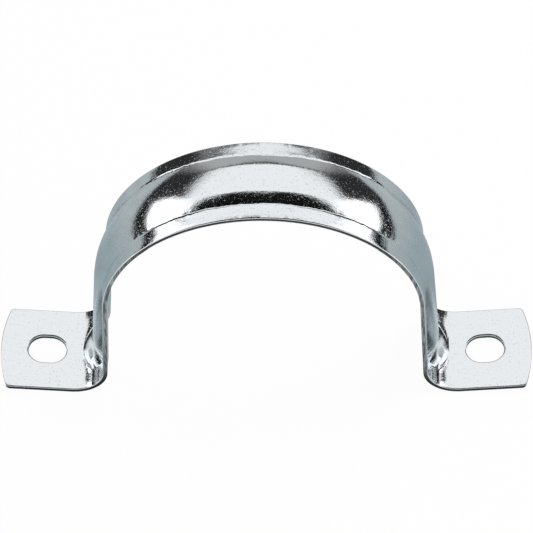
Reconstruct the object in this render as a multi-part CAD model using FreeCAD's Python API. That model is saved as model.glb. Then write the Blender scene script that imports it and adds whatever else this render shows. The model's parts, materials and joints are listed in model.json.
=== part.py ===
import FreeCAD, Part
import math
import os

# Two-hole saddle strap for conduit, pressed from one strip of zinc-plated sheet steel.
# Lengths in mm, angles in degrees.
# Origin: on the resting plane, below the middle of the arch.
# +X runs across the conduit from foot to foot, +Y along the conduit, +Z away from the wall.

# Sheet and arch
SHEET = 1.0               # thickness of the strip
CONDUIT_DIAMETER = 63.0   # the arch's inner face fits this pipe
CENTRE_HEIGHT = 28.0      # pipe centre above the resting plane
ARCH_WIDTH = 18.5         # the strip draws in here, where the bead is pressed
LEG_SPLAY = 3.0           # how far the legs lean out from upright

# Feet
OVERALL_LENGTH = 111.4
FOOT_WIDTH = 19.6
FOOT_RISE = 5.7           # spring left in the feet: their ends stand up until screwed down
FOOT_END_RADIUS = 29.4    # the rounded end of each foot
FOOT_CORNER_RADIUS = 0.9
BEND_RADIUS = 7.3         # underside of the bend between leg and foot
NARROWING_START = 9.0     # the strip is FOOT_WIDTH wide below this height
NARROWING_END = 34.0      # and ARCH_WIDTH wide above this one

# Screw slots
SLOT_SPACING = 92.0
SLOT_LENGTH = 8.0
SLOT_WIDTH = 6.6

# Stiffening bead along the middle of the strip
BEAD_WIDTH = 11.8
BEAD_SHOULDER = 2.9       # width of each rounded shoulder
BEAD_RISE_TOP = 0.6       # height above the strip at the top of the arch
BEAD_RISE_SIDE = 1.95     # at the end of the arch
BEAD_RISE_FOOT = 2.5      # at the end of the leg
BEAD_TOE_ANGLE = 74.0     # how far round the bend the bead dies out
BEAD_TOE_TAPER = 0.45     # its width there, as a share of BEAD_WIDTH
RECESS_TOE_ANGLE = 72.8   # its hollow underneath ends a little sooner

MARGIN = 5.0              # how far cutting tools run past the strip
STOCK = 0.12              # left under the strip by its sections, and cut back to its exact underside
ARCH_STEPS = 8            # sections of the strip over half the arch
LEG_STEPS = 3
TOE_STEPS = 7

inner_radius = CONDUIT_DIAMETER / 2
splay = math.radians(LEG_SPLAY)
rise = math.radians(FOOT_RISE)
arch_end = math.pi / 2 - splay
leg_down = FreeCAD.Vector(math.sin(splay), 0, -math.cos(splay))
leg_out = FreeCAD.Vector(math.cos(splay), 0, math.sin(splay))
foot_along = FreeCAD.Vector(math.cos(rise), 0, math.sin(rise))
arch_centre = FreeCAD.Vector(0, 0, CENTRE_HEIGHT)
bend_angle = math.pi / 2 - splay + rise
toe_angle = math.radians(BEAD_TOE_ANGLE)
crown_height = CENTRE_HEIGHT + inner_radius + SHEET + BEAD_RISE_TOP


def on_arch(angle, offset):
    """Point at an angle from the top of the arch, offset out from its inner face."""
    radius = inner_radius + offset
    return arch_centre + FreeCAD.Vector(radius * math.sin(angle), 0, radius * math.cos(angle))


# The leg is as long as it takes for the bend to touch the resting plane.
leg_length = (on_arch(arch_end, 0).z + BEND_RADIUS * math.sin(splay) - BEND_RADIUS) / math.cos(splay)
leg_end = on_arch(arch_end, 0) + leg_down * leg_length
bend_centre = leg_end + leg_out * BEND_RADIUS


def bend_out(angle):
    """Direction out of the strip's outer face, an angle round the bend from the leg."""
    return leg_out * math.cos(angle) - leg_down * math.sin(angle)


def mirrored(point):
    return FreeCAD.Vector(-point.x, point.y, point.z)


def mirrored_shape(shape):
    return shape.mirror(FreeCAD.Vector(0, 0, 0), FreeCAD.Vector(1, 0, 0))


def stations():
    """Point on the strip's outer face, direction out of it, and the bead's rise, depth and half width."""
    half = BEAD_WIDTH / 2
    right = []
    for index in range(ARCH_STEPS + 1):
        angle = arch_end * index / ARCH_STEPS
        out = FreeCAD.Vector(math.sin(angle), 0, math.cos(angle))
        height = BEAD_RISE_TOP + (BEAD_RISE_SIDE - BEAD_RISE_TOP) * (1 - math.cos(angle))
        right.append((on_arch(angle, SHEET), out, height, height, half))
    for index in range(1, LEG_STEPS + 1):
        share = index / LEG_STEPS
        height = BEAD_RISE_SIDE + (BEAD_RISE_FOOT - BEAD_RISE_SIDE) * share
        point = on_arch(arch_end, SHEET) + leg_down * leg_length * share
        right.append((point, leg_out, height, height, half))
    for index in range(1, TOE_STEPS + 1):
        share = index / TOE_STEPS
        out = bend_out(toe_angle * share)
        point = bend_centre - out * (BEND_RADIUS - SHEET)
        height = BEAD_RISE_FOOT * (1 - share ** 2)
        depth = BEAD_RISE_FOOT * (1 - (share * BEAD_TOE_ANGLE / RECESS_TOE_ANGLE) ** 2)
        right.append((point, out, height, depth, half * (1 - (1 - BEAD_TOE_TAPER) * share ** 2)))
    left = [(mirrored(point), mirrored(out), *bead) for point, out, *bead in right[:0:-1]]
    return left + right


def wall_curve(place, side, half, height, offset):
    """One shoulder of the bead, a parabola from its crown down to the strip."""
    run = BEAD_SHOULDER * half / (BEAD_WIDTH / 2)
    slope = math.atan(2 * height / run)
    base = half - offset * math.tan(slope / 2)
    curve = Part.BezierCurve()
    curve.setPoles([place(side * (half - run), height - offset),
                    place(side * (base - run / 2), height - offset),
                    place(side * base, -offset)])
    return curve


def strip_section(point, out, height, depth, half):
    """Closed section of the strip, with the bead pressed up in its middle and stock left below."""
    edge = FOOT_WIDTH / 2 + MARGIN

    def upper_place(across, up):
        return point + FreeCAD.Vector(0, across, 0) + out * up

    def lower_place(across, up):
        return upper_place(across, up - STOCK)

    faces = []
    for place, offset, rise_here in ((upper_place, 0, height), (lower_place, SHEET, depth + STOCK)):
        near = wall_curve(place, -1, half, rise_here, offset)
        far = wall_curve(place, 1, half, rise_here, offset)
        run = [
            Part.LineSegment(place(-edge, -offset), near.EndPoint),
            near,
            Part.LineSegment(near.StartPoint, far.StartPoint),
            far,
            Part.LineSegment(far.EndPoint, place(edge, -offset)),
        ]
        faces.append([curve.toShape() for curve in run])
    upper, lower = faces
    end_far = Part.LineSegment(upper_place(edge, 0), lower_place(edge, -SHEET)).toShape()
    end_near = Part.LineSegment(lower_place(-edge, -SHEET), upper_place(-edge, 0)).toShape()
    return Part.Wire(upper + [end_far] + lower[::-1] + [end_near])


def foot_profile(start_angle, radius):
    """Points down the profile of the foot at +X, from part way round its bend to past its end."""
    start = bend_centre - bend_out(start_angle) * radius
    half_way = bend_centre - bend_out((start_angle + bend_angle) / 2) * radius
    bend_end = bend_centre - bend_out(bend_angle) * radius
    tip = bend_end + foot_along * (OVERALL_LENGTH / 2 + MARGIN - bend_end.x)
    return start, half_way, bend_end, tip


def foot_edges(start, half_way, bend_end, tip):
    return [Part.Arc(start, half_way, bend_end).toShape(), Part.LineSegment(bend_end, tip).toShape()]


def across_strip(edges):
    """Solid with a profile of edges in XZ, reaching past both edges of the strip."""
    width = FOOT_WIDTH + 2 * MARGIN
    face = Part.Face(Part.Wire(Part.__sortEdges__(edges)))
    face.translate(FreeCAD.Vector(0, -width / 2, 0))
    return face.extrude(FreeCAD.Vector(0, width, 0))


def foot_blank():
    """The flat foot at +X and the rest of its bend, up to where the bead dies out."""
    upper = foot_profile(toe_angle, BEND_RADIUS - SHEET)
    lower = foot_profile(toe_angle, BEND_RADIUS + STOCK)
    ends = [Part.LineSegment(upper[end], lower[end]).toShape() for end in (0, -1)]
    return across_strip(foot_edges(*upper) + foot_edges(*lower) + ends)


def space_below():
    """Everything under the strip: the pipe's seat, the legs' inner faces and the feet's undersides."""
    arch_foot = on_arch(arch_end, 0)
    profile = foot_profile(0, BEND_RADIUS)
    tip = profile[-1]
    below = FreeCAD.Vector(tip.x, 0, -MARGIN)
    side = [Part.LineSegment(arch_foot, leg_end).toShape(), Part.LineSegment(tip, below).toShape()]
    side += foot_edges(*profile)
    arch = Part.Arc(mirrored(arch_foot), on_arch(0, 0), arch_foot).toShape()
    bottom = Part.LineSegment(mirrored(below), below).toShape()
    return across_strip([arch, bottom] + side + [mirrored_shape(edge) for edge in side])


def blank_outline():
    """Everything inside the strip's outline as seen from above."""
    centre_x = OVERALL_LENGTH / 2 - FOOT_END_RADIUS
    half = FOOT_WIDTH / 2
    corner_x = centre_x + math.sqrt(FOOT_END_RADIUS ** 2 - half ** 2)
    near_right = FreeCAD.Vector(corner_x, -half, -MARGIN)
    far_right = FreeCAD.Vector(corner_x, half, -MARGIN)
    end_right = FreeCAD.Vector(OVERALL_LENGTH / 2, 0, -MARGIN)
    edges = [
        Part.LineSegment(mirrored(near_right), near_right).toShape(),
        Part.Arc(near_right, end_right, far_right).toShape(),
        Part.LineSegment(far_right, mirrored(far_right)).toShape(),
        Part.Arc(mirrored(far_right), mirrored(end_right), mirrored(near_right)).toShape(),
    ]
    solid = Part.Face(Part.Wire(edges)).extrude(FreeCAD.Vector(0, 0, crown_height + 2 * MARGIN))
    upright = [edge for edge in solid.Edges if edge.BoundBox.ZLength > MARGIN]
    return solid.makeFillet(FOOT_CORNER_RADIUS, upright)


def side_outline():
    """Everything inside the strip's width, which narrows smoothly up the legs."""
    middle = (NARROWING_START + NARROWING_END) / 2
    top = crown_height + MARGIN

    def at(side, width, height):
        return FreeCAD.Vector(-OVERALL_LENGTH, side * width / 2, height)

    edges = []
    for side in (-1, 1):
        flank = Part.BezierCurve()
        flank.setPoles([at(side, FOOT_WIDTH, NARROWING_START), at(side, FOOT_WIDTH, middle),
                        at(side, ARCH_WIDTH, middle), at(side, ARCH_WIDTH, NARROWING_END)])
        edges.append(flank.toShape())
        foot_edge = Part.LineSegment(at(side, FOOT_WIDTH, -MARGIN), at(side, FOOT_WIDTH, NARROWING_START))
        arch_edge = Part.LineSegment(at(side, ARCH_WIDTH, NARROWING_END), at(side, ARCH_WIDTH, top))
        edges.append(foot_edge.toShape())
        edges.append(arch_edge.toShape())
    edges.append(Part.LineSegment(at(-1, FOOT_WIDTH, -MARGIN), at(1, FOOT_WIDTH, -MARGIN)).toShape())
    edges.append(Part.LineSegment(at(-1, ARCH_WIDTH, top), at(1, ARCH_WIDTH, top)).toShape())
    face = Part.Face(Part.Wire(Part.__sortEdges__(edges)))
    return face.extrude(FreeCAD.Vector(2 * OVERALL_LENGTH, 0, 0))


def screw_slot():
    """Cutter for the slot in the foot at +X, in line with the screw."""
    centre = FreeCAD.Vector(SLOT_SPACING / 2, 0, -MARGIN)
    half_width = SLOT_WIDTH / 2
    straight = SLOT_LENGTH / 2 - half_width

    def at(along, across):
        return centre + FreeCAD.Vector(along, across, 0)

    edges = [
        Part.LineSegment(at(-straight, -half_width), at(straight, -half_width)).toShape(),
        Part.Arc(at(straight, -half_width), at(SLOT_LENGTH / 2, 0), at(straight, half_width)).toShape(),
        Part.LineSegment(at(straight, half_width), at(-straight, half_width)).toShape(),
        Part.Arc(at(-straight, half_width), at(-SLOT_LENGTH / 2, 0), at(-straight, -half_width)).toShape(),
    ]
    return Part.Face(Part.Wire(edges)).extrude(FreeCAD.Vector(0, 0, CENTRE_HEIGHT))


def build_strap():
    band = Part.makeLoft([strip_section(*station) for station in stations()], True, False)
    foot = foot_blank()
    strap = band.fuse([foot, mirrored_shape(foot)])
    strap = strap.cut(space_below())
    strap = strap.common(blank_outline())
    strap = strap.common(side_outline())
    slot = screw_slot()
    return strap.cut([slot, mirrored_shape(slot)])


strap = build_strap()
os.makedirs("parts", exist_ok=True)
strap.Solids[0].exportStep("parts/strap.step")
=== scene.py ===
import json
import math
import random

import bmesh
import bpy
from mathutils import Matrix, Vector


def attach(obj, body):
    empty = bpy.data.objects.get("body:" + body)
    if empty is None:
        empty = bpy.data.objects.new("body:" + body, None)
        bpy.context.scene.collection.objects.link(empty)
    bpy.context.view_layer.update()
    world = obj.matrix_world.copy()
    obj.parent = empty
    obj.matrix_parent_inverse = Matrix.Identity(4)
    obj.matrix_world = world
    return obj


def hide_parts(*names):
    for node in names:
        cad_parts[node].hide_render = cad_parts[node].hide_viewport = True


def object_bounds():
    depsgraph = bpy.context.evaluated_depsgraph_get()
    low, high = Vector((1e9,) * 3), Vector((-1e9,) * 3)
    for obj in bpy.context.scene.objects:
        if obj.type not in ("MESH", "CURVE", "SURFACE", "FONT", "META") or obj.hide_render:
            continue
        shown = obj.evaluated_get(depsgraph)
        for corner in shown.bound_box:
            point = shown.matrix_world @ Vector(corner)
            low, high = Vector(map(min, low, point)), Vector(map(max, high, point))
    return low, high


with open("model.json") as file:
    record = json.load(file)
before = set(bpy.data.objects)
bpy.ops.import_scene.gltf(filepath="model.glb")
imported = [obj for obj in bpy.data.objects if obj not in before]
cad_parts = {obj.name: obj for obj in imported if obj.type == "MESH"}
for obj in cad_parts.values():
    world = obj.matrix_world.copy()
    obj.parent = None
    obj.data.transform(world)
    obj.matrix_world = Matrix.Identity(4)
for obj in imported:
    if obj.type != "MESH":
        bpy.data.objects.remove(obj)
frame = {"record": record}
cad_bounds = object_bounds()
low, high = (Vector(corner) for corner in cad_bounds)
middle = (low + high) / 2

# Camera, in metres, degrees and millimetres of lens
VIEW_YAW = -1.72
VIEW_ELEVATION = 54.54
VIEW_ROLL = -1.49
VIEW_DISTANCE = 0.5963
AIM_RIGHT = 0.00054
AIM_UP = 0.00041
LENS = 199.26

# Strap, in mm; part.py gives the same sizes
MM = 0.001
mounts = {mount["name"]: mount for mount in frame["record"]["mounts"]}
pipe_seat = mounts["pipe_seat"]
screw_slots = mounts["screw_slots"]["dims"]
INNER_RADIUS = pipe_seat["dims"]["r_mm"]
CENTRE_HEIGHT = pipe_seat["pos_m"][2] / MM
ARCH_WIDTH = pipe_seat["dims"]["length_mm"]
FOOT_WIDTH = (high.y - low.y) / MM
OVERALL_LENGTH = (high.x - low.x) / MM
SLOT_SPACING = screw_slots["spacing_x_mm"]
SLOT_RADIUS = screw_slots["hole_r_mm"]
SLOT_STRAIGHT = screw_slots["slot_length_mm"] - 2 * SLOT_RADIUS
SHEET = 1.0
SPLAY = math.radians(3)
RISE = math.radians(5.7)
BEND_RADIUS = 7.3
NARROWING_START = 9.0
NARROWING_END = 34.0
FOOT_END_RADIUS = 29.4
FOOT_CORNER_RADIUS = 0.9
BEAD_HALF = 5.9
BEAD_RISE_TOP = 0.6
BEAD_RISE_SIDE = 1.95
BEAD_RISE_FOOT = 2.5

# The bead's finer form
BEAD_SHOULDER = 2.8
BEAD_POWER = 1.25         # how late each shoulder turns down
DOME_START = math.radians(8)
DOME_END = math.radians(38)
DOME_POWER = 2.2
CROWN_SAG = 0.06          # the crown's fall from middle to shoulder, as a share of the rise
FLANGE_DROOP = math.radians(4.5)
TOE_START = math.radians(50)
TOE_REACH = math.radians(21)
TOE_ROUNDNESS = 2.8       # 2 gives a parabola; more gives a broader toe
TOE_POWER = 0.5           # how late the toe drops
TOE_HALF = 5.6
TOE_NARROWING = 0.93      # how much of its width the bead loses in its toe
FLAT_START = 0.1          # past the toe the bead is flat, and its points spread out again
FLAT_SPREAD = 0.5         # from the first of these shares of its width, by the second

# Crease along each side of the bead, and the sheared edges
CREASE = 0.16
CREASE_DEPTH = 0.07       # the bead's base is coined a little into the flange
CREASE_LIP = 0.05
LIP_LEAST = -0.3          # the lip's height varies from this share of CREASE_LIP
LIP_SPREAD = 1.6          # upward by at most this share
CREASE_REACH = 3          # from the bead to the level flange, in crease widths
CREASE_WANDER = 0.22
WANDER_POWER = 8          # how near to the crease its wander stays
EDGE_ROLL = 0.2           # radius rolled over by shearing
SLOT_ROLL = 0.35
BURR = 0.06
SHEAR_DEPTH = 0.85        # how far down the sheet the shear goes, as a share
EDGE_DULL_HEIGHT = 50.0   # above this only the shear wall takes the edge's painted shade, and the edge is bright zinc below it

# How finely the strap's mesh is divided, in mm or steps
LEAST_STEP = 0.002        # between points of the underside, which crowd at the creases
ROW = 0.5                 # between sections of the arch and legs
CROWN_STEPS = 6
SHOULDER_STEPS = 12
FLANGE_STEPS = 3
ROLL_STEPS = 4
BEND_STEPS = 10
TOE_STEPS = 20
BEND_END_STEPS = 8
FOOT_SIDE_STEPS = 25
FOOT_CORNER_STEPS = 8
FOOT_END_STEPS = 20
SLOT_END_STEPS = 24

# Metal: grain cells to the metre, heights in metres
GRAIN_SCALE = 3200
GRAIN_HEIGHT = 0.000012
LINE_SCALE = GRAIN_SCALE / 2
WAVE_SCALE = GRAIN_SCALE / 30
SPECK_SCALE = GRAIN_SCALE * 0.8
LINE_HEIGHT = 0.8         # drawing lines, in grain heights
WAVE_HEIGHT = 12          # slow waves in the sheet, in grain heights
LINE_STRETCH = (1, 1, 0.04)
STREAK_STRETCH = (1, 1, 0.1)
SPECKS = (0.56, 0.74)
ROUGHNESS = (0.09, 0.32)  # between the specks and in them
LEG_ROUGHNESS = 0.2       # added where the sheet was drawn over the die
EDGE_ROUGHNESS = 0.35
BRIGHT_ZINC = (0.80, 0.83, 0.85)
# The legs' darker, bluer zinc is painted shade, standing in for the dimmer light on the sides
LEG_ZINC_PAINTED_SHADE = (0.55, 0.65, 0.69)
EDGE_TINT = (0.93, 1, 1)
# The sheared edge's near black is painted shade, and the streaked grey it lightens to down the legs is
# painted reflection
EDGE_PAINTED_SHADE = 0.04
STREAKS = (0.35, 0.65)
STREAK_PAINTED_LIGHT = (0.06, 0.34)
# Heights where the legs' painted shade and added roughness, and the edge's painted lighter streaks,
# come in and go out
LEG_BOTTOM = (4 * MM, 10 * MM)
LEG_TOP = (38 * MM, 52 * MM)

# Studio
FLOOR_HALF = 6.0
FLOOR_GAP = 0.00002
FLOOR_COLOUR = (0.85, 0.85, 0.85, 1)
FLOOR_GLOW = 0.96         # share of the floor that is plain white to the camera
WORLD_STRENGTH = 0.6
CARD_GREY = (0.48, 0.52, 0.53, 1)
CARD_PATCH_ENDS = (0.3, 0.7)
CARD_PATCHES = (0.82, 1.12)
CARD_PATCH_SCALE = 40
CARD_FRONT = (-0.022, -0.004)   # the card turns white in front of the strap, over this stretch
LAMP_PLACE = (0.4, 0.3, 0.9)
LAMP_SIZE = 0.6
LAMP_POWER = 6

# Surroundings: cards and gaps, by the components of a direction from the strap
STUDIO_RADIUS = 1.5
STUDIO_RINGS = 24
STUDIO_COLUMNS = 48
STUDIO_REACH = math.radians(100)
TOWARD_CAMERA = (0, -0.58, 0.814)   # at the camera's elevation, without its yaw
FRONT_SPREAD = 0.15       # the dark front is wider to the sides
FRONT_EDGE = (0.52, 0.62)
FRONT_BOTTOM = (0.35, 0.55)
BEHIND = (0.64, 0.71)
BACK_CARD_EDGE = (0.49, 0.61)
BACK_CARD_LIFT = -0.08
BACK_CARD_LIFT_ENDS = (0.3, 0.65)
LOW_GAP = (0.15, 0.24)
SIDE_CARD = (0.6, 0.85)
SIDE_CARD_EXTRA = 0.5
WALL_CARD = 0.45
WALL_CARD_SIDES = (0.35, 0.6)
WALL_CARD_TOP = (0.50, 0.57)
WALL_CARD_BACK = (0.60, 0.70)
UNLIT = 0.006
UNLIT_BACK = 0.02

ARCH_END = math.pi / 2 - SPLAY
BEND_ANGLE = math.pi / 2 - SPLAY + RISE
leg_down = Vector((math.sin(SPLAY), 0, -math.cos(SPLAY)))
leg_out = Vector((math.cos(SPLAY), 0, math.sin(SPLAY)))
foot_along = Vector((math.cos(RISE), 0, math.sin(RISE)))
foot_up = Vector((-math.sin(RISE), 0, math.cos(RISE)))
across = Vector((0, 1, 0))
ragged = random.Random(7)


def on_arch(angle, offset):
    """Point in the middle of the strip, at an angle from the top of the arch."""
    radius = INNER_RADIUS + offset
    return Vector((radius * math.sin(angle), 0, CENTRE_HEIGHT + radius * math.cos(angle)))


leg_top = on_arch(ARCH_END, 0)
leg_length = (leg_top.z + BEND_RADIUS * (math.sin(SPLAY) - 1)) / math.cos(SPLAY)
bend_centre = leg_top + leg_down * leg_length + leg_out * BEND_RADIUS
foot_start = bend_centre - foot_up * (BEND_RADIUS - SHEET)


def eased(share):
    """Smooth step from 0 to 1."""
    share = min(max(share, 0), 1)
    return share * share * (3 - 2 * share)


def strip_width(height):
    """The strip draws in up the legs, on a smooth curve."""
    share = (height - NARROWING_START) / (NARROWING_END - NARROWING_START)
    return FOOT_WIDTH + (ARCH_WIDTH - FOOT_WIDTH) * eased(share)


def arch_stations():
    """Where the sections stand from the crown down the right of the arch.

    Each has a point on the outer face, the direction out, the bead's rise and half width,
    how domed the bead is from 0 to 1, and the flanges' droop.
    """
    steps = round(ARCH_END * INNER_RADIUS / ROW)
    for index in range(steps + 1):
        angle = ARCH_END * index / steps
        out = Vector((math.sin(angle), 0, math.cos(angle)))
        rise = BEAD_RISE_TOP + (BEAD_RISE_SIDE - BEAD_RISE_TOP) * (1 - math.cos(angle))
        dome = eased((angle - DOME_START) / (DOME_END - DOME_START))
        droop = FLANGE_DROOP * (1 - eased(angle / ARCH_END * 2 - 1))
        yield on_arch(angle, SHEET), out, rise, BEAD_HALF, dome, droop


def leg_stations():
    """The same down the right leg."""
    steps = round(leg_length / ROW)
    for index in range(1, steps):
        share = index / steps
        point = leg_top + leg_out * SHEET + leg_down * leg_length * share
        rise = BEAD_RISE_SIDE + (BEAD_RISE_FOOT - BEAD_RISE_SIDE) * share
        yield point, leg_out, rise, BEAD_HALF, 1, 0


def bend_angles():
    """Angles round the bend, each with the share of its width that the bead still has."""
    bend = [(TOE_START * index / BEND_STEPS, 1) for index in range(BEND_STEPS + 1)]
    for index in range(1, TOE_STEPS + 1):
        narrowed = 1 - TOE_NARROWING * index / TOE_STEPS
        bend.append((TOE_START + TOE_REACH * (1 - narrowed ** TOE_ROUNDNESS), narrowed))
    toe = bend[-1][0]
    for index in range(1, BEND_END_STEPS + 1):
        share = index / BEND_END_STEPS
        bend.append((toe + (BEND_ANGLE - toe) * share, FLAT_START + FLAT_SPREAD * share))
    return bend


def bend_stations():
    """The same round the right bend, where the bead narrows and drops to its toe."""
    toe_end = TOE_START + TOE_REACH
    for angle, narrowed in bend_angles():
        out = leg_out * math.cos(angle) - leg_down * math.sin(angle)
        rise = BEAD_RISE_FOOT * max(1 - (angle / toe_end) ** 2, 0) ** TOE_POWER
        half = BEAD_HALF + (TOE_HALF - BEAD_HALF) * min(angle / TOE_START, 1)
        yield bend_centre - out * (BEND_RADIUS - SHEET), out, rise, half * narrowed, 1, 0


def bead_profile(rise, half, wander, inner, lip, dome, droop):
    """Outer face of the section from one rolled edge to the other, as (across, up)."""
    crease = CREASE * min(rise / BEAD_RISE_TOP, 1) * half / BEAD_HALF
    crown = 1 - BEAD_SHOULDER / BEAD_HALF
    shares = [crown * index / CROWN_STEPS for index in range(CROWN_STEPS + 1)]
    shares += [crown + (1 - crown) * index / SHOULDER_STEPS for index in range(1, SHOULDER_STEPS + 1)]
    right = []
    for share in shares:
        if share <= crown:
            pressed = 1 - CROWN_SAG * (share / crown) ** 2
        else:
            pressed = (1 - CROWN_SAG) * (1 - ((share - crown) / (1 - crown)) ** BEAD_POWER)
        up = rise * (pressed + (1 - share ** DOME_POWER - pressed) * dome)
        right.append((share * (half - crease) + wander * share ** WANDER_POWER, up))
    half += wander
    base = half + crease * CREASE_REACH
    right.append((half, -CREASE_DEPTH * crease / CREASE))
    right.append((half + crease * CREASE_REACH / 2, lip * crease / CREASE))
    right.append((base, 0))
    for index in range(1, FLANGE_STEPS + 1):
        out = (inner - base) * index / FLANGE_STEPS
        right.append((base + out, -out * math.tan(droop)))
    return [(-y, up) for y, up in right[:0:-1]] + right


def offset_profile(profile, distance):
    """The same line moved square to itself, for the underside of the sheet."""
    moved = []
    for index, (y, up) in enumerate(profile):
        before = profile[max(index - 1, 0)]
        after = profile[min(index + 1, len(profile) - 1)]
        slope = math.atan2(after[1] - before[1], after[0] - before[0])
        moved.append((y + distance * math.sin(slope), up - distance * math.cos(slope)))
    for index in range(1, len(moved)):
        if moved[index][0] <= moved[index - 1][0]:
            moved[index] = (moved[index - 1][0] + LEAST_STEP, moved[index][1])
    return moved


def edge_profile(roll):
    """A sheared edge from the underside up: how far in from the outline, and height."""
    points = [(BURR, -SHEET), (0, BURR - SHEET), (0, -SHEET * SHEAR_DEPTH), (0, -roll)]
    for index in range(1, ROLL_STEPS + 1):
        turn = math.pi / 2 * index / ROLL_STEPS
        points.append((roll * (1 - math.cos(turn)), -roll * (1 - math.sin(turn))))
    return points


EDGE_POINTS = len(edge_profile(EDGE_ROLL))
SHEAR_STEP = 2            # the wall, among the steps of an edge profile
CUT_STEPS = {0, 1, 2}     # the burr, the foot of the wall and the wall


def strap_sections():
    """Closed sections from the end of one bend over the arch to the end of the other."""
    right = [*arch_stations(), *leg_stations(), *bend_stations()]
    left = [(Vector((-point.x, 0, point.z)), Vector((-out.x, 0, out.z)), *form)
            for point, out, *form in right[:0:-1]]
    edge = edge_profile(EDGE_ROLL)
    for point, out, rise, half, dome, droop in left + right:
        half_width = strip_width(point.z) / 2
        lip = CREASE_LIP * (LIP_SPREAD * ragged.random() + LIP_LEAST)
        wander = CREASE_WANDER * (ragged.random() - 0.5) * half / BEAD_HALF
        top = bead_profile(rise, half, wander, half_width - EDGE_ROLL, lip, dome, droop)
        edge_up = top[0][1]
        bottom = offset_profile(top, SHEET)
        section = [(inset - half_width, up + edge_up) for inset, up in edge[:-1]]
        section += top
        section += [(half_width - inset, up + edge_up) for inset, up in edge[-2::-1]]
        section += bottom[::-1]
        yield [point + across * y + out * up for y, up in section], len(top)


def foot_outline():
    """Points round the free edge of the right foot, and the direction out of it, from near to far."""
    half = FOOT_WIDTH / 2
    end_centre = OVERALL_LENGTH / 2 - FOOT_END_RADIUS
    corner_y = half - FOOT_CORNER_RADIUS
    corner_x = end_centre + math.sqrt((FOOT_END_RADIUS - FOOT_CORNER_RADIUS) ** 2 - corner_y ** 2)
    turn = math.atan2(corner_y, corner_x - end_centre)
    points = []
    for index in range(1, FOOT_SIDE_STEPS):
        x = foot_start.x + (corner_x - foot_start.x) * index / FOOT_SIDE_STEPS
        points.append((x, -half, -math.pi / 2))
    for index in range(FOOT_CORNER_STEPS + 1):
        angle = -math.pi / 2 + (math.pi / 2 - turn) * index / FOOT_CORNER_STEPS
        points.append((corner_x + FOOT_CORNER_RADIUS * math.cos(angle),
                       -corner_y + FOOT_CORNER_RADIUS * math.sin(angle), angle))
    for index in range(1, FOOT_END_STEPS):
        angle = turn * index / FOOT_END_STEPS - turn
        points.append((end_centre + FOOT_END_RADIUS * math.cos(angle),
                       FOOT_END_RADIUS * math.sin(angle), angle))
    far = [(x, -y, -angle) for x, y, angle in points[::-1]]
    return points + [(OVERALL_LENGTH / 2, 0, 0)] + far


def slot_outline():
    """The same round the screw slot, where out of the metal is into the slot."""
    points = []
    for side, start in ((1, 0), (-1, math.pi)):
        for index in range(SLOT_END_STEPS + 1):
            angle = math.pi * (index / SLOT_END_STEPS - 0.5) + start
            x = SLOT_SPACING / 2 + side * SLOT_STRAIGHT / 2 + SLOT_RADIUS * math.cos(angle)
            points.append((x, SLOT_RADIUS * math.sin(angle), angle + math.pi))
    return points


class Skin:
    """Points and faces as they're made; the faces listed in cut are sheared metal."""

    def __init__(self):
        self.points = []
        self.faces = []
        self.cut = set()

    def add(self, points):
        start = len(self.points)
        self.points += points
        return list(range(start, len(self.points)))

    def join(self, first, second, cut_steps, closed=False):
        """Faces between two rows of points."""
        count = len(first)
        for index in range(count if closed else count - 1):
            following = (index + 1) % count
            if index in cut_steps:
                self.cut.add(len(self.faces))
            self.faces.append((first[index], first[following], second[following], second[index]))


def sweep(skin):
    """The arch, legs and bends; returns the rows of points and where the far edge starts in each."""
    rows = []
    for section, top_count in strap_sections():
        rows.append(skin.add(section))
    far_edge = EDGE_POINTS + top_count - 2
    last_step = far_edge + EDGE_POINTS - 2
    both_shears = {SHEAR_STEP, last_step - SHEAR_STEP}
    both_edges = CUT_STEPS | {last_step - step for step in CUT_STEPS}
    for before, after in zip(rows, rows[1:]):
        # On the arch only the shear wall takes the sheared edge's painted shade
        bright = skin.points[before[0]].z > EDGE_DULL_HEIGHT
        skin.join(before, after, both_shears if bright else both_edges, closed=True)
    return rows, far_edge


def edge_columns(skin, outline, roll, side):
    """The edge profile stood at each point of an outline on the tilted foot, with upright walls."""
    columns = []
    for x, y, angle in outline:
        column = []
        for inset, up in edge_profile(roll):
            along = (x - foot_start.x - inset * math.cos(angle) - foot_up.x * up) / foot_along.x
            place = foot_start + foot_along * along + foot_up * up
            place.y = y - inset * math.sin(angle)
            place.x *= side
            column.append(place)
        columns.append(skin.add(column))
    return columns


def foot_edges(skin, side, end_row, far_edge):
    """The foot's free edge and slot; returns the points round its top and round its bottom."""
    near_column = end_row[:EDGE_POINTS]
    far_column = end_row[far_edge:far_edge + EDGE_POINTS][::-1]
    free = [near_column, *edge_columns(skin, foot_outline(), EDGE_ROLL, side), far_column]
    slot = edge_columns(skin, slot_outline(), SLOT_ROLL, side)
    for first, second in [*zip(free, free[1:]), *zip(slot, slot[1:] + slot[:1])]:
        skin.join(first, second, CUT_STEPS)
    top = set(end_row[EDGE_POINTS - 1:far_edge + 1]) | {column[-1] for column in free + slot}
    bottom = set(end_row[far_edge + EDGE_POINTS - 1:]) | {column[0] for column in free + slot}
    return [top, bottom]


def fill_rims(mesh, rims):
    """Flat faces over each open rim, and smooth shading all over."""
    work = bmesh.new()
    work.from_mesh(mesh)
    for rim in rims:
        edges = [edge for edge in work.edges
                 if edge.is_boundary and edge.verts[0].index in rim and edge.verts[1].index in rim]
        bmesh.ops.triangle_fill(work, edges=edges, use_beauty=True, use_dissolve=False)
    bmesh.ops.recalc_face_normals(work, faces=work.faces)
    for face in work.faces:
        face.smooth = True
    work.to_mesh(mesh)
    work.free()


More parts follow.
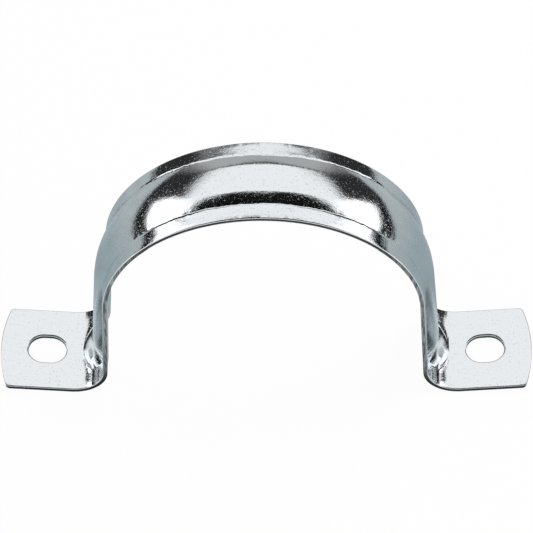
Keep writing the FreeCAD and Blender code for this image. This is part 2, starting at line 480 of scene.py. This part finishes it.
def build_strap():
    skin = Skin()
    rows, far_edge = sweep(skin)
    rims = foot_edges(skin, 1, rows[-1], far_edge) + foot_edges(skin, -1, rows[0], far_edge)
    strap = add_mesh("strap_body", [point * MM for point in skin.points], skin.faces)
    # The sheared faces take the edge colour, near black with painted shade
    for index in skin.cut:
        strap.data.polygons[index].material_index = 1
    fill_rims(strap.data, rims)
    shading = strap.modifiers.new("flat_faces_stay_flat", "WEIGHTED_NORMAL")
    shading.weight = 50
    strap.data.materials.append(zinc())
    strap.data.materials.append(cut_edge_painted_shade())
    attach(strap, "root")
    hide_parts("strap")


def add_mesh(name, vertices, faces):
    mesh = bpy.data.meshes.new(name)
    mesh.from_pydata(vertices, [], faces)
    obj = bpy.data.objects.new(name, mesh)
    bpy.context.scene.collection.objects.link(obj)
    return obj


class Shader:
    """The nodes of a material or world, with short ways to add the kinds that repeat."""

    def __init__(self, tree, output_kind="ShaderNodeOutputMaterial"):
        self.nodes = tree.nodes
        self.links = tree.links
        self.nodes.clear()
        self.output = self.nodes.new(output_kind)

    def surface(self, node):
        self.links.new(node.outputs[0], self.output.inputs["Surface"])

    def math(self, operation, first, second=None):
        node = self.nodes.new("ShaderNodeMath")
        node.operation = operation
        for socket, value in zip(node.inputs, (first, second)):
            if isinstance(value, (int, float)):
                socket.default_value = value
            elif value is not None:
                self.links.new(value, socket)
        return node.outputs[0]

    def ramp(self, value, start, end, low_value=0.0, high_value=1.0):
        """Smooth change from low_value at start to high_value at end."""
        node = self.nodes.new("ShaderNodeMapRange")
        node.interpolation_type = "SMOOTHSTEP"
        self.links.new(value, node.inputs["Value"])
        node.inputs["From Min"].default_value = start
        node.inputs["From Max"].default_value = end
        node.inputs["To Min"].default_value = low_value
        node.inputs["To Max"].default_value = high_value
        return node.outputs["Result"]

    def noise(self, place, scale, detail, stretch=(1, 1, 1)):
        mapping = self.nodes.new("ShaderNodeMapping")
        mapping.inputs["Scale"].default_value = stretch
        self.links.new(place, mapping.inputs["Vector"])
        texture = self.nodes.new("ShaderNodeTexNoise")
        texture.inputs["Scale"].default_value = scale
        texture.inputs["Detail"].default_value = detail
        self.links.new(mapping.outputs["Vector"], texture.inputs["Vector"])
        return texture.outputs["Fac"]

    def place(self):
        return self.nodes.new("ShaderNodeTexCoord").outputs["Object"]

    def axes(self, vector):
        node = self.nodes.new("ShaderNodeSeparateXYZ")
        self.links.new(vector, node.inputs[0])
        return node.outputs

    def glow(self, colour=(1, 1, 1, 1), strength=None):
        node = self.nodes.new("ShaderNodeEmission")
        node.inputs["Color"].default_value = colour
        if strength is not None:
            self.links.new(strength, node.inputs["Strength"])
        return node

    def mix(self, share, first, second):
        node = self.nodes.new("ShaderNodeMixShader")
        self.links.new(share, node.inputs[0])
        self.links.new(first.outputs[0], node.inputs[1])
        self.links.new(second.outputs[0], node.inputs[2])
        return node

    def seen_directly(self):
        """1 for rays from the camera, from a gloss or through glass."""
        path = self.nodes.new("ShaderNodeLightPath")
        seen = self.math("MAXIMUM", path.outputs["Is Camera Ray"], path.outputs["Is Glossy Ray"])
        return self.math("MAXIMUM", seen, path.outputs["Is Transmission Ray"])


def new_material(name):
    material = bpy.data.materials.new(name)
    material.use_nodes = True
    return material, Shader(material.node_tree)


def on_the_legs(shader, place):
    """1 between the feet and the arch, by height."""
    height = shader.axes(place)[2]
    above_foot = shader.ramp(height, *LEG_BOTTOM)
    return shader.math("MULTIPLY", above_foot, shader.ramp(height, *LEG_TOP, 1, 0))


def zinc():
    """Bright plated sheet with a fine grain, light specks and faint drawing lines down the legs, where
    its colour is darker and bluer: painted shade.
    """
    material, shader = new_material("zinc_plate")
    metal = shader.nodes.new("ShaderNodeBsdfPrincipled")
    metal.inputs["Metallic"].default_value = 1
    place = shader.place()
    legs = on_the_legs(shader, place)
    # Painted shade: the colour darkens and turns bluer between the feet and the arch
    colour = shader.nodes.new("ShaderNodeCombineColor")
    for channel, bright, dull in zip(colour.inputs, BRIGHT_ZINC, LEG_ZINC_PAINTED_SHADE):
        shader.links.new(shader.ramp(legs, 0, 1, bright, dull), channel)
    shader.links.new(colour.outputs[0], metal.inputs["Base Color"])
    grain = shader.noise(place, GRAIN_SCALE, 2)
    lines = shader.noise(place, LINE_SCALE, 1, LINE_STRETCH)
    waves = shader.noise(place, WAVE_SCALE, 1)
    height = shader.math("ADD", grain, shader.math("MULTIPLY", lines, LINE_HEIGHT))
    height = shader.math("ADD", height, shader.math("MULTIPLY", waves, WAVE_HEIGHT))
    bump = shader.nodes.new("ShaderNodeBump")
    bump.inputs["Strength"].default_value = 1
    bump.inputs["Distance"].default_value = GRAIN_HEIGHT
    shader.links.new(height, bump.inputs["Height"])
    shader.links.new(bump.outputs["Normal"], metal.inputs["Normal"])
    specks = shader.ramp(shader.noise(place, SPECK_SCALE, 1), *SPECKS, *ROUGHNESS)
    roughness = shader.math("ADD", specks, shader.math("MULTIPLY", legs, LEG_ROUGHNESS))
    shader.links.new(roughness, metal.inputs["Roughness"])
    shader.surface(metal)
    return material


def cut_edge_painted_shade():
    """Sheared edge: dull, and near black with painted shade; a little lighter and streaked down the
    legs, where the lighter grey is painted reflection.
    """
    material, shader = new_material("cut_edge_painted_shade")
    metal = shader.nodes.new("ShaderNodeBsdfPrincipled")
    place = shader.place()
    streaks = shader.noise(place, GRAIN_SCALE, 2, STREAK_STRETCH)
    # The streaks are the edge's own marks; how much they lighten it down the legs is painted
    # reflection, and elsewhere it stays near black, painted shade
    light = shader.ramp(streaks, *STREAKS, *STREAK_PAINTED_LIGHT)
    light = shader.math("MULTIPLY", light, on_the_legs(shader, place))
    shade = shader.math("ADD", light, EDGE_PAINTED_SHADE)
    colour = shader.nodes.new("ShaderNodeCombineColor")
    for channel, tint in zip(colour.inputs, EDGE_TINT):
        shader.links.new(shader.math("MULTIPLY", shade, tint), channel)
    shader.links.new(colour.outputs[0], metal.inputs["Base Color"])
    metal.inputs["Metallic"].default_value = 1
    metal.inputs["Roughness"].default_value = EDGE_ROUGHNESS
    shader.surface(metal)
    return material


def make_camera():
    yaw, elevation, roll = (math.radians(angle) for angle in (VIEW_YAW, VIEW_ELEVATION, VIEW_ROLL))
    level = math.cos(elevation)
    forward = Vector((math.sin(yaw) * level, math.cos(yaw) * level, -math.sin(elevation)))
    right = Vector((math.cos(yaw), -math.sin(yaw), 0))
    up = right.cross(forward)
    rolled_right = right * math.cos(roll) + up * math.sin(roll)
    rolled_up = up * math.cos(roll) - right * math.sin(roll)
    place = middle + right * AIM_RIGHT + up * AIM_UP - forward * VIEW_DISTANCE
    data = bpy.data.cameras.new("camera")
    data.lens = LENS
    data.sensor_width = 36
    data.clip_start = 0.01
    data.clip_end = 100
    camera = bpy.data.objects.new("camera", data)
    turn = Matrix((rolled_right, rolled_up, -forward)).transposed().to_4x4()
    camera.matrix_world = Matrix.Translation(place) @ turn
    bpy.context.scene.collection.objects.link(camera)
    bpy.context.scene.camera = camera


def make_world():
    world = bpy.data.worlds.new("studio")
    bpy.context.scene.world = world
    world.use_nodes = True
    shader = Shader(world.node_tree, "ShaderNodeOutputWorld")
    background = shader.nodes.new("ShaderNodeBackground")
    background.inputs["Color"].default_value = (1, 1, 1, 1)
    strength = shader.ramp(shader.seen_directly(), 0, 1, WORLD_STRENGTH, 1.0)
    shader.links.new(strength, background.inputs["Strength"])
    shader.surface(background)


def add_floor_sheet(name, height):
    corners = [(-FLOOR_HALF, -FLOOR_HALF, 0), (FLOOR_HALF, -FLOOR_HALF, 0),
               (FLOOR_HALF, FLOOR_HALF, 0), (-FLOOR_HALF, FLOOR_HALF, 0)]
    sheet = add_mesh(name, corners, [(0, 1, 2, 3)])
    sheet.location.z = height
    return sheet


def make_floor():
    floor = add_floor_sheet("floor", low.z - FLOOR_GAP)
    material, shader = new_material("floor_white")
    diffuse = shader.nodes.new("ShaderNodeBsdfDiffuse")
    diffuse.inputs["Color"].default_value = FLOOR_COLOUR
    share = shader.ramp(shader.seen_directly(), 0, 1, 0.0, FLOOR_GLOW)
    shader.surface(shader.mix(share, diffuse, shader.glow()))
    floor.data.materials.append(material)


def only_in_reflections(obj):
    obj.visible_camera = False
    obj.visible_diffuse = False
    obj.visible_transmission = False
    obj.visible_volume_scatter = False
    obj.visible_shadow = False


def make_grey_card():
    """Grey card that the strap stands on, seen only in its metal and white in front of it."""
    card = add_floor_sheet("grey_card", low.z - FLOOR_GAP / 2)
    material, shader = new_material("card_grey")
    place = shader.place()
    start, end = (low.y + distance for distance in CARD_FRONT)
    in_front = shader.ramp(shader.axes(place)[1], start, end, 1, 0)
    uneven = shader.ramp(shader.noise(place, CARD_PATCH_SCALE, 1), *CARD_PATCH_ENDS, *CARD_PATCHES)
    shader.surface(shader.mix(in_front, shader.glow(CARD_GREY, uneven), shader.glow()))
    card.data.materials.append(material)
    only_in_reflections(card)


def add_dome(name):
    vertices = [(0, 0, 1)]
    faces = []
    for ring in range(1, STUDIO_RINGS + 1):
        tilt = STUDIO_REACH * ring / STUDIO_RINGS
        for column in range(STUDIO_COLUMNS):
            turn = 2 * math.pi * column / STUDIO_COLUMNS
            x, y = math.sin(tilt) * math.cos(turn), math.sin(tilt) * math.sin(turn)
            vertices.append((x, y, math.cos(tilt)))
    for column in range(STUDIO_COLUMNS):
        after = (column + 1) % STUDIO_COLUMNS
        faces.append((0, 1 + after, 1 + column))
        for ring in range(STUDIO_RINGS - 1):
            upper = 1 + ring * STUDIO_COLUMNS
            lower = upper + STUDIO_COLUMNS
            faces.append((upper + column, upper + after, lower + after, lower + column))
    dome = add_mesh(name, vertices, faces)
    dome.scale = (STUDIO_RADIUS,) * 3
    return dome


def card_strength(shader, direction):
    """Brightness of the surroundings in each direction."""
    x, y, z = shader.axes(direction)
    sideways = shader.math("ABSOLUTE", x)
    front = shader.nodes.new("ShaderNodeVectorMath")
    front.operation = "DOT_PRODUCT"
    shader.links.new(direction, front.inputs[0])
    front.inputs[1].default_value = TOWARD_CAMERA
    spread = shader.math("ADD", front.outputs["Value"], shader.math("MULTIPLY", sideways, FRONT_SPREAD))
    front_gap = shader.math("MULTIPLY", shader.ramp(spread, *FRONT_EDGE), shader.ramp(z, *FRONT_BOTTOM))
    behind = shader.ramp(shader.math("DIVIDE", y, sideways), *BEHIND)
    lifted = shader.math("ADD", z, shader.ramp(sideways, *BACK_CARD_LIFT_ENDS, BACK_CARD_LIFT, 0))
    back_gap = shader.math("MULTIPLY", behind, shader.ramp(lifted, *BACK_CARD_EDGE, 1, 0))
    gaps = shader.math("MAXIMUM", shader.ramp(z, *LOW_GAP, 1, 0), back_gap)
    lit = shader.math("SUBTRACT", 1, shader.math("MAXIMUM", front_gap, gaps))
    card = shader.math("ADD", 1, shader.ramp(sideways, *SIDE_CARD, 0, SIDE_CARD_EXTRA))
    unlit = shader.math("ADD", UNLIT, shader.math("MULTIPLY", back_gap, UNLIT_BACK))
    wall = shader.math("MULTIPLY", shader.ramp(sideways, *WALL_CARD_SIDES, WALL_CARD, 0),
                       shader.ramp(z, *WALL_CARD_TOP, 1, 0))
    wall = shader.math("MULTIPLY", wall, shader.ramp(y, *WALL_CARD_BACK))
    return shader.math("MAXIMUM", shader.math("ADD", shader.math("MULTIPLY", card, lit), unlit), wall)


def make_surroundings():
    """White cards above and beside the strap and dark gaps between them, seen only in its metal."""
    dome = add_dome("studio_dome")
    material, shader = new_material("studio_cards")
    direction = shader.nodes.new("ShaderNodeVectorMath")
    direction.operation = "NORMALIZE"
    shader.links.new(shader.place(), direction.inputs[0])
    shader.surface(shader.glow(strength=card_strength(shader, direction.outputs["Vector"])))
    dome.data.materials.append(material)
    only_in_reflections(dome)


def make_lamp():
    data = bpy.data.lights.new("key", "AREA")
    data.shape = "SQUARE"
    data.size = LAMP_SIZE
    data.energy = LAMP_POWER
    lamp = bpy.data.objects.new("key", data)
    lamp.location = LAMP_PLACE
    lamp.rotation_euler = (middle - Vector(LAMP_PLACE)).to_track_quat("-Z", "Y").to_euler()
    lamp.visible_glossy = False
    bpy.context.scene.collection.objects.link(lamp)


make_camera()
make_world()
make_floor()
make_grey_card()
make_surroundings()
make_lamp()
build_strap()

bpy.context.scene.view_settings.view_transform = "Standard"
